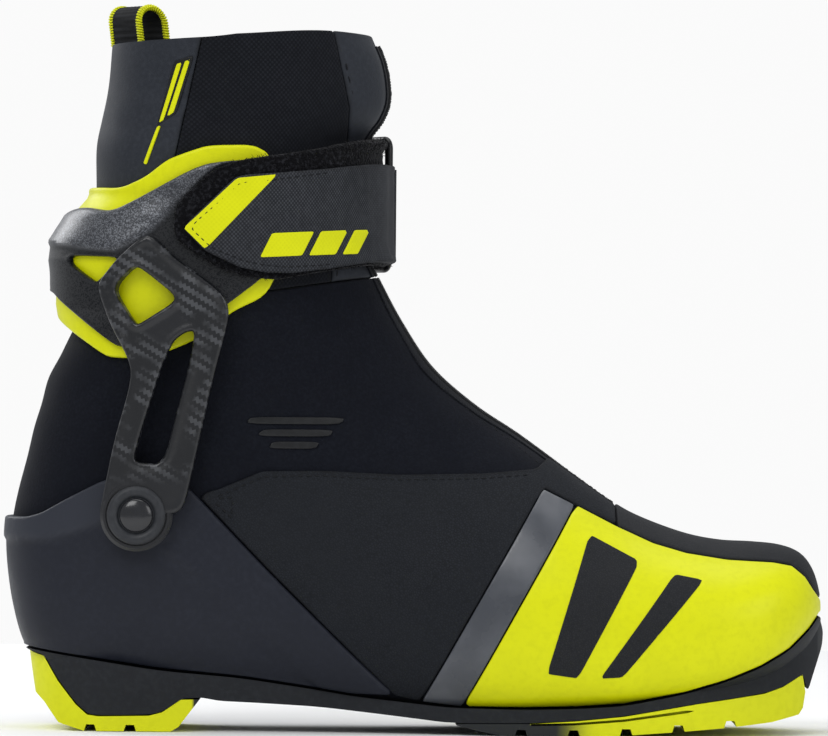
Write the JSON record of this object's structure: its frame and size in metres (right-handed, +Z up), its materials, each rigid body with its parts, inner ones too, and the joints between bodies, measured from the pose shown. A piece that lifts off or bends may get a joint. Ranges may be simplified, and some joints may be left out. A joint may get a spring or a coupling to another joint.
{
  "type": "cross country ski boot",
  "caption": "Cross country skate ski boot with a hinged ankle cuff, carbon arms, a wrap-over cuff strap, a zipped soft upper and a ribbed sole with a toe bar.",
  "frame": {"origin": "on the ground under the middle of the boot's bounding box", "axes": "+X to the toe, -Y to the lateral (outer) side of this right boot, +Z up"},
  "size_m": [0.2972, 0.1016, 0.2624],
  "materials": {
    "softshell": "black softshell fabric, matt",
    "coated_fabric": "grey coated fabric, soft sheen",
    "stretch_fabric": "black stretch fabric, matt",
    "synthetic": "dark grey synthetic leather, fine grain",
    "counter_plastic": "dark blue-grey moulded plastic, satin",
    "lime_plastic": "lime yellow moulded plastic, satin",
    "metallic_plastic": "dark metallic grey plastic with sparkle",
    "carbon": "carbon fibre laminate, satin lacquer",
    "gloss_print": "grey film, glossy",
    "sole_rubber": "dark grey rubber, matt",
    "pile": "black loop pile, fuzzy",
    "steel": "bright steel",
    "black_plastic": "black plastic, satin",
    "foam": "grey lining, brushed",
    "webbing": "black webbing with lime overlocked edges"
  },
  "bodies": {
    "boot": {"sole_chassis": "sole_rubber", "heel_tread": "lime_plastic", "forefoot_tread": "sole_rubber", "toe_bar": "steel", "insole_board": "foam", "footbed": "foam", "upper_softshell": "softshell", "foot_liner": "foam", "tongue": "foam", "inner_eyestay_lateral": "synthetic", "inner_eyestay_medial": "synthetic", "ankle_gusset": "softshell", "heel_counter": "counter_plastic", "side_panel_lateral": "synthetic", "stripe_lateral": "gloss_print", "side_panel_medial": "synthetic", "stripe_medial": "gloss_print", "toe_overlay": "lime_plastic", "toe_cap": "coated_fabric", "pivot_pin_medial": "steel", "pivot_cap_medial": "black_plastic", "pivot_pin_lateral": "steel", "pivot_cap_lateral": "black_plastic", "zip_tape_lower": "black_plastic", "zip_coil_lower": "black_plastic", "zip_tape_ankle": "black_plastic", "zip_coil_ankle": "black_plastic"},
    "cuff": {"cuff_shell": "metallic_plastic", "cuff_lining": "lime_plastic", "arm_lateral": "carbon", "arm_medial": "carbon", "pivot_bush_lateral": "black_plastic", "pivot_bush_medial": "black_plastic", "collar_rear": "coated_fabric", "collar_front": "coated_fabric", "collar_stretch_lateral": "stretch_fabric", "collar_stretch_medial": "stretch_fabric", "collar_lining": "foam", "pull_loop": "webbing", "collar_label": "lime_plastic", "strap_base": "pile", "ring_tab": "webbing", "tab_rivet": "steel", "zip_tape_upper": "black_plastic", "zip_coil_upper": "black_plastic"},
    "ring": {"strap_ring": "black_plastic"},
    "flap": {"strap_flap": "synthetic"},
    "slider": {"zip_slider": "steel"}
  },
  "joints": [
    {"name": "cuff_hinge", "type": "hinge", "parent": "boot", "child": "cuff", "pos_m": [-0.10021, -0.00113, 0.078], "axis": [0, 1, 0], "range_deg": [-4, 18], "stiffness_Nm_per_rad": 3.5, "deforming": ["ankle_gusset", "zip_tape_ankle", "zip_coil_ankle"]},
    {"name": "ring_swing", "type": "hinge", "parent": "cuff", "child": "ring", "pos_m": [-0.01968, 0.03072, 0.1912], "axis": [0, 0, 1], "range_deg": [0, 25]},
    {"name": "flap_open", "type": "hinge", "parent": "ring", "child": "flap", "pos_m": [-0.01108, 0.01611, 0.1877], "axis": [0, 0, 1], "range_deg": [0, 120]},
    {"name": "zip_slide", "type": "slide", "parent": "cuff", "child": "slider", "axis": [0, 0, -1], "range_m": [0, 0.02]}
  ]
}
